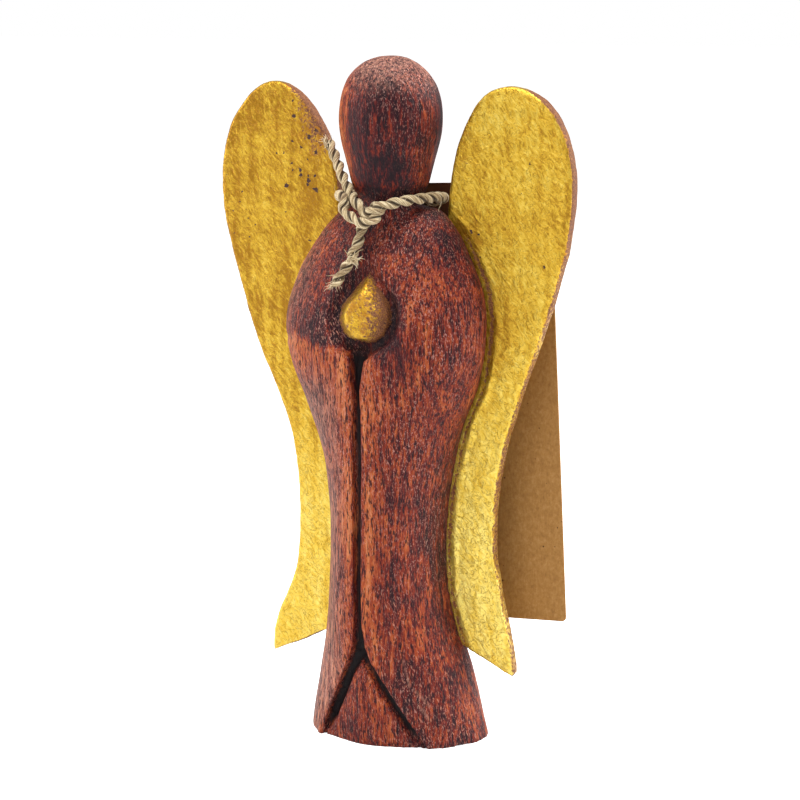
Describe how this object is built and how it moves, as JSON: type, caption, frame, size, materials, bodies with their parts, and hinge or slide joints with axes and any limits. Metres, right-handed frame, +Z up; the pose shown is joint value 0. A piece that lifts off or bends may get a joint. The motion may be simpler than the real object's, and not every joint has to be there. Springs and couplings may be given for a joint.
{
  "type": "carved wooden figurine",
  "caption": "Free-standing carved wooden angel: a robed, faceless figure with gilded wing boards on its back, a twisted cord knotted at the neck and a plain card hanging behind.",
  "frame": {"origin": "on the floor, at the middle of the underside, in the plane where the wings lie on the back", "axes": "+Z up through the head, -Y towards the front, +X to the right of someone facing the front"},
  "size_m": [0.1127, 0.0427, 0.2],
  "materials": {
    "stained_wood": "dark red-brown stain under thin wax, with streaked grain",
    "gilded_wood": "metal leaf over wood, worn at the edges",
    "dowel_wood": "bare wood, end grain",
    "cord_fibre": "dry twisted plant fibre",
    "kraft_card": "plain brown kraft, matt"
  },
  "bodies": {
    "figurine": {"carved_body": "stained_wood", "wing_left": "gilded_wood", "wing_right": "gilded_wood", "wing_dowels_left": "dowel_wood", "wing_dowels_right": "dowel_wood", "cord_tail_up": "cord_fibre", "cord_neck_loop": "cord_fibre", "cord_tail_down": "cord_fibre", "cord_knot": "cord_fibre"},
    "card": {"hanging_card": "kraft_card"}
  },
  "joints": [
    {"name": "card_swing", "type": "hinge", "parent": "figurine", "child": "card", "pos_m": [-0.0016, 0.0125, 0.1602], "axis": [1, 0, 0], "range_deg": [0, 80]}
  ]
}
